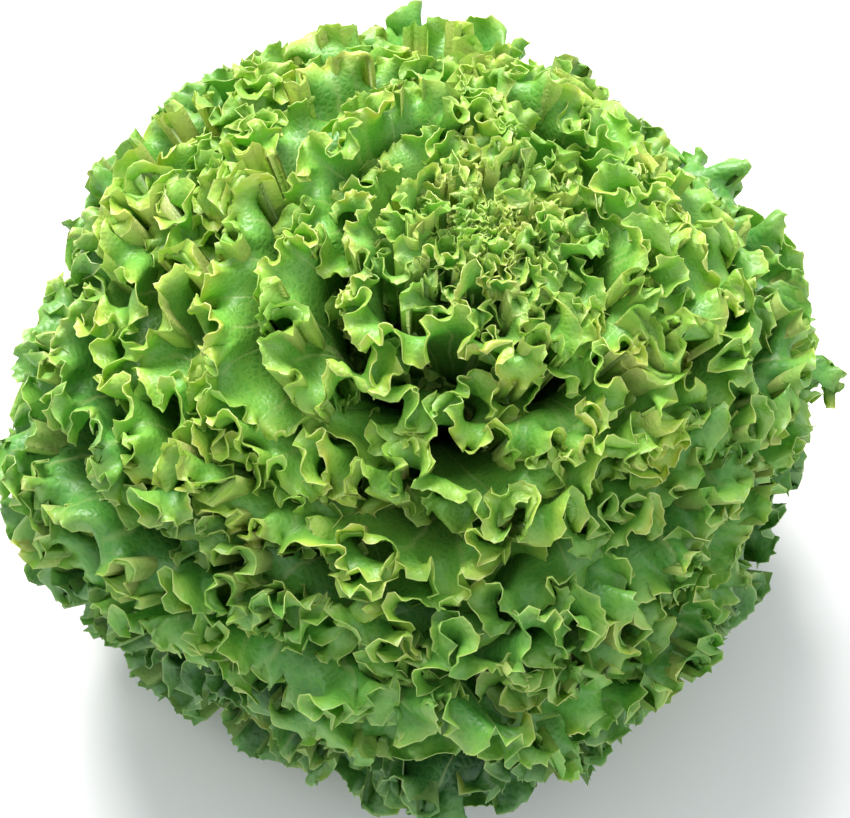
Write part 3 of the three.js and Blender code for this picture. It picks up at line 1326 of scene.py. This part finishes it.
@dataclass
class Bud:
    """The youngest leaves, small and crowded, which fill the middle of the head."""

    head: HeadForm
    count: int = 38
    first_azimuth: float = 40.0

    def shape(self, number: int) -> LeafShape:
        """The shape of one leaf of the bud.

        Args:
            number: its place in the spiral. Number 1 is the outermost.

        Returns:
            Its shape.
        """
        depth = (number - 1) / (self.count - 1)
        bowl = self.head.bud_bowl(depth)
        return LeafShape(
            number=500 + number,
            bowl=bowl,
            azimuth=math.radians(self.first_azimuth + number * GOLDEN_ANGLE),
            half_width=bowl.tip[0] * math.radians(mix(62, 80, depth)) + 1.5 * MM,
            reach=mix(0.94, 1.0, chance(number, 5)),
            tilt=mix(-0.04, 0.04, chance(number, 6)),
            wrap=math.radians(80),
            foot_half_width=mix(3.0, 1.0, depth) * MM,
            blade=0.45 * MM,
            rib=0.8 * MM,
            rib_half_width=1.5 * MM,
            ruffles=(
                Ruffle(48 * 0.36**depth * MM, 38, 0.55, pinch=0.1),
                Ruffle(20 * 0.3**depth * MM, 76, 0.6, pinch=0.2, unevenness=0.5),
                Ruffle(9.5 * 0.36**depth * MM, 48, 0.55, pinch=0.2, unevenness=1.0, curl=1.2),
            ),
            teeth=Teeth((2.0 * MM, 4.0 * MM), height=mix(1.0, 0.5, depth) * MM, depth=2 * MM),
            lobe_width=mix(14, 6, depth) * MM,
            lobes=0.03,
            flop=36.0,
            flop_depth=22 * 0.3**depth * MM,
            blister=0.3 * MM,
            grid=FanGrid(columns=32 * int(mix(20, 11, depth)), rows=12, halvings=(4, 7, 10)),
        )

    def build(self, material: bpy.types.Material) -> None:
        """Builds every leaf of the bud. Together they stand for the frame's plain heart.

        Args:
            material: their finish.
        """
        for number in range(1, self.count + 1):
            name = f"bud_leaf_{number:02d}"
            mesh = self.shape(number).build(self.head).to_mesh(name)
            add_piece(name, mesh, material, "heart")


@dataclass(frozen=True)
class StemFinish:
    """The finish of the stem: pale green sides and a milky cut face with a tanned ring."""

    side: tuple = colour(196, 212, 142)
    core: tuple = colour(236, 238, 208)
    ring: tuple = colour(196, 168, 112)

    def material(self, head: HeadForm) -> bpy.types.Material:
        """Builds the material.

        Args:
            head: the head, which gives the stem's radius.

        Returns:
            A damp, slightly fibrous surface, tanned along the rim of the cut.
        """
        material = bpy.data.materials.new("cut_stem")
        material.use_nodes = True
        kit = Nodes(material.node_tree)
        place = kit.add("ShaderNodeTexCoord").outputs["Object"]
        sides = kit.add("ShaderNodeSeparateXYZ", {0: place})
        flat = kit.add("ShaderNodeCombineXYZ", {0: sides.outputs[0], 1: sides.outputs[1]})
        out = kit.add("ShaderNodeVectorMath", {0: flat.outputs[0]}, operation="LENGTH").outputs["Value"]
        grain = kit.add("ShaderNodeTexNoise", {"Vector": place, "Scale": 260.0, "Detail": 4.0})
        ragged = kit.math("MULTIPLY_ADD", grain.outputs[0], 3 * MM, out)
        rim = kit.band(ragged, head.stem_radius - 2.5 * MM, head.stem_radius + 1 * MM)
        pith = kit.band(ragged, 4 * MM, 8 * MM, 0.35, 0.0)
        tanned = kit.math("MAXIMUM", rim, pith)
        face = kit.blend(tanned, self.core, self.ring)
        low = kit.band(sides.outputs[2], 0.1 * MM, 2.5 * MM)
        shown = kit.blend(low, face, self.side)
        bump = kit.add("ShaderNodeBump", {"Height": grain.outputs[0], "Strength": 0.3, "Distance": 1 * MM})
        surface = kit.add(
            "ShaderNodeBsdfPrincipled",
            {"Base Color": shown, "Normal": bump.outputs[0], "Roughness": 0.42},
        )
        surface.inputs["Subsurface Weight"].default_value = 0.2
        surface.inputs["Subsurface Radius"].default_value = (3 * MM, 3 * MM, 1.5 * MM)
        surface.inputs["Subsurface Scale"].default_value = 1.0
        kit.add("ShaderNodeOutputMaterial", {0: surface.outputs[0]})
        return material


@dataclass
class Stem:
    """The short stem that every leaf grows from, cut flat across at the bottom."""

    head: HeadForm
    columns: int = 96
    side_rows: int = 72
    cap_rows: int = 10
    ridge: float = 0.45 * MM  # how high the ridges stand that run up from leaf to leaf
    rounding: float = 1.2 * MM

    def rings(self) -> Array:
        """The stem's profile, from the middle of the cut face over a small rounding, up the side
        and in again to the top.

        Returns:
            Radius and height of each ring.
        """
        head = self.head
        cut = [(radius, 0.0) for radius in np.linspace(0, head.stem_radius - self.rounding, self.cap_rows)]
        corner = [
            (
                head.stem_radius - self.rounding * (1 - math.sin(turn)),
                self.rounding * (1 - math.cos(turn)),
            )
            for turn in np.linspace(0, math.pi / 2, 6)[1:]
        ]
        heights = np.linspace(self.rounding, head.stem_height - 1 * MM, self.side_rows)[1:]
        side = [(head.stem_radius_at(float(height)), float(height)) for height in heights]
        top = [(side[-1][0] * share, head.stem_height - 1 * MM * share**2) for share in (0.7, 0.35, 0.0)]
        return np.array(cut + corner + side + top)

    def build(self, material: bpy.types.Material) -> None:
        """Turns the rings round the axis. Ridges that wind up the side raise it by the cosine of
        eight times the azimuth plus the height's own turns. The cut face stays flat.

        Args:
            material: the stem's finish.
        """
        rings = self.rings()
        azimuth = np.linspace(0, 2 * np.pi, self.columns, endpoint=False)
        radius, height = rings[:, :1], rings[:, 1:]
        ridges = np.cos(8 * azimuth[None, :] + 90.0 * height / self.head.stem_radius / 6)
        radius = radius + self.ridge * ridges * ease(height, 1 * MM, 9 * MM) * ease(radius, 0, 4 * MM)
        points = self.head.bend(radius, azimuth[None, :], height * np.ones_like(radius))
        vertices = np.concatenate([points[:1, 0], points[1:-1].reshape(-1, 3), points[-1:, 0]])
        count = len(rings) - 2
        here = 1 + np.arange(count * self.columns).reshape(count, self.columns)
        after = np.roll(here, -1, axis=1)
        foot = np.stack([np.zeros_like(here[0]), after[0], here[0]], -1)
        sides = np.stack([here[:-1], after[:-1], after[1:], here[1:]], -1).reshape(-1, 4)
        top = np.stack([here[-1], after[-1], np.full(self.columns, len(vertices) - 1)], -1)
        faces = foot.tolist() + sides.tolist() + top.tolist()
        mesh = bpy.data.meshes.new("stem")
        mesh.from_pydata(vertices.tolist(), [], faces)
        layer = mesh.uv_layers.new(name="OFBake")
        layer.uv.foreach_set("vector", self.map_corners(len(rings)).astype(np.float32).ravel())
        mesh.shade_smooth()
        add_piece("cut_stem", mesh, material, "stem")

    def map_corners(self, rows: int) -> Array:
        """Lays the stem out on its map: the cut face as a disc, the side as a band above it.

        Args:
            rows: how many rings there are.

        Returns:
            The place of each corner of each face, in the order that the faces are made in.
        """
        row, column = np.meshgrid(np.arange(rows), np.arange(self.columns + 1), indexing="ij")
        turn = 2 * np.pi * column / self.columns
        out = 0.22 * row / self.cap_rows
        disc = np.stack([0.25 + out * np.cos(turn), 0.25 + out * np.sin(turn)], -1)
        up = (row - self.cap_rows) / (rows - self.cap_rows)
        band = np.stack([column / self.columns, 0.5 + 0.5 * up], -1)
        on_cut = (np.arange(1, rows - 2) < self.cap_rows)[:, None, None]
        low = np.where(on_cut, disc[1:-2], band[1:-2])
        high = np.where(on_cut, disc[2:-1], band[2:-1])
        foot = np.stack([disc[0, :-1], disc[1, 1:], disc[1, :-1]], 1)
        sides = np.stack([low[:, :-1], low[:, 1:], high[:, 1:], high[:, :-1]], 2)
        top = np.stack([band[-2, :-1], band[-2, 1:], band[-1, :-1]], 1)
        return np.concatenate([part.reshape(-1, 2) for part in (foot, sides, top)])


@dataclass
class Studio:
    """The floor, the lights and the camera."""

    elevation: float = 60.0
    distance: float = 1.0
    aim: tuple[float, float, float] = (0.0035, -0.0027, 0.0964)
    lens: float = 118.4

    def build(self) -> None:
        """Builds a plain pale floor, soft lights and the camera."""
        self.build_floor()
        self.build_lights()
        self.build_camera()

    def build_floor(self) -> None:
        """A wide level sheet under the head, nearly white."""
        half = 3.0
        mesh = bpy.data.meshes.new("floor")
        corners = [(-half, -half, 0), (half, -half, 0), (half, half, 0), (-half, half, 0)]
        mesh.from_pydata(corners, [], [(0, 1, 2, 3)])
        floor = bpy.data.objects.new("floor", mesh)
        floor.location.z = -0.2 * MM
        bpy.context.scene.collection.objects.link(floor)
        material = bpy.data.materials.new("pale_floor")
        material.use_nodes = True
        paint = material.node_tree.nodes["Principled BSDF"]
        paint.inputs["Base Color"].default_value = (0.86, 0.86, 0.85, 1)
        paint.inputs["Roughness"].default_value = 0.7
        mesh.materials.append(material)

    def build_lights(self) -> None:
        """A broad light above and behind on the left, a weaker one in front, and a pale sky."""
        lights = (
            ("key", (-0.35, 1.1, 1.55), 1.0, 67.0, (1.0, 0.955, 0.97)),
            ("fill", (0.9, -1.3, 1.3), 1.4, 5.0, (0.95, 0.98, 1.0)),
        )
        for name, place, size, energy, tone in lights:
            lamp = bpy.data.lights.new(name, "AREA")
            lamp.size = size
            lamp.energy = energy
            lamp.color = tone
            holder = bpy.data.objects.new(name, lamp)
            holder.location = place
            holder.rotation_euler = (Vector((0, 0, 0.1)) - Vector(place)).to_track_quat("-Z", "Y").to_euler()
            bpy.context.scene.collection.objects.link(holder)
        world = bpy.data.worlds.new("pale_sky")
        world.use_nodes = True
        sky = world.node_tree.nodes["Background"]
        sky.inputs["Color"].default_value = (0.93, 0.97, 1.0, 1)
        sky.inputs["Strength"].default_value = 0.85
        bpy.context.scene.world = world

    def build_camera(self) -> None:
        """The camera looks down on the head from the front."""
        turn = math.radians(self.elevation)
        aim = Vector(self.aim)
        away = Vector((0, -math.cos(turn), math.sin(turn))) * self.distance
        lens = bpy.data.cameras.new("camera")
        lens.lens = self.lens
        lens.clip_start = 0.01
        camera = bpy.data.objects.new("camera", lens)
        camera.location = aim + away
        camera.rotation_euler = (-away).to_track_quat("-Z", "Y").to_euler()
        bpy.context.scene.collection.objects.link(camera)
        bpy.context.scene.camera = camera
        bpy.context.scene.view_settings.view_transform = "Standard"


def main() -> None:
    """Builds the studio and the head, and reports each piece."""
    logging.basicConfig(level=logging.INFO, format="%(message)s")
    Studio().build()
    head = HeadForm()
    effects = SharedEffects()
    materials = {band: finish.material(effects) for band, finish in FINISHES.items()}
    Stem(head).build(StemFinish().material(head))
    Foliage(head).build(materials)
    Bud(head).build(materials[Band.HEART])


if __name__ == "__main__":
    main()
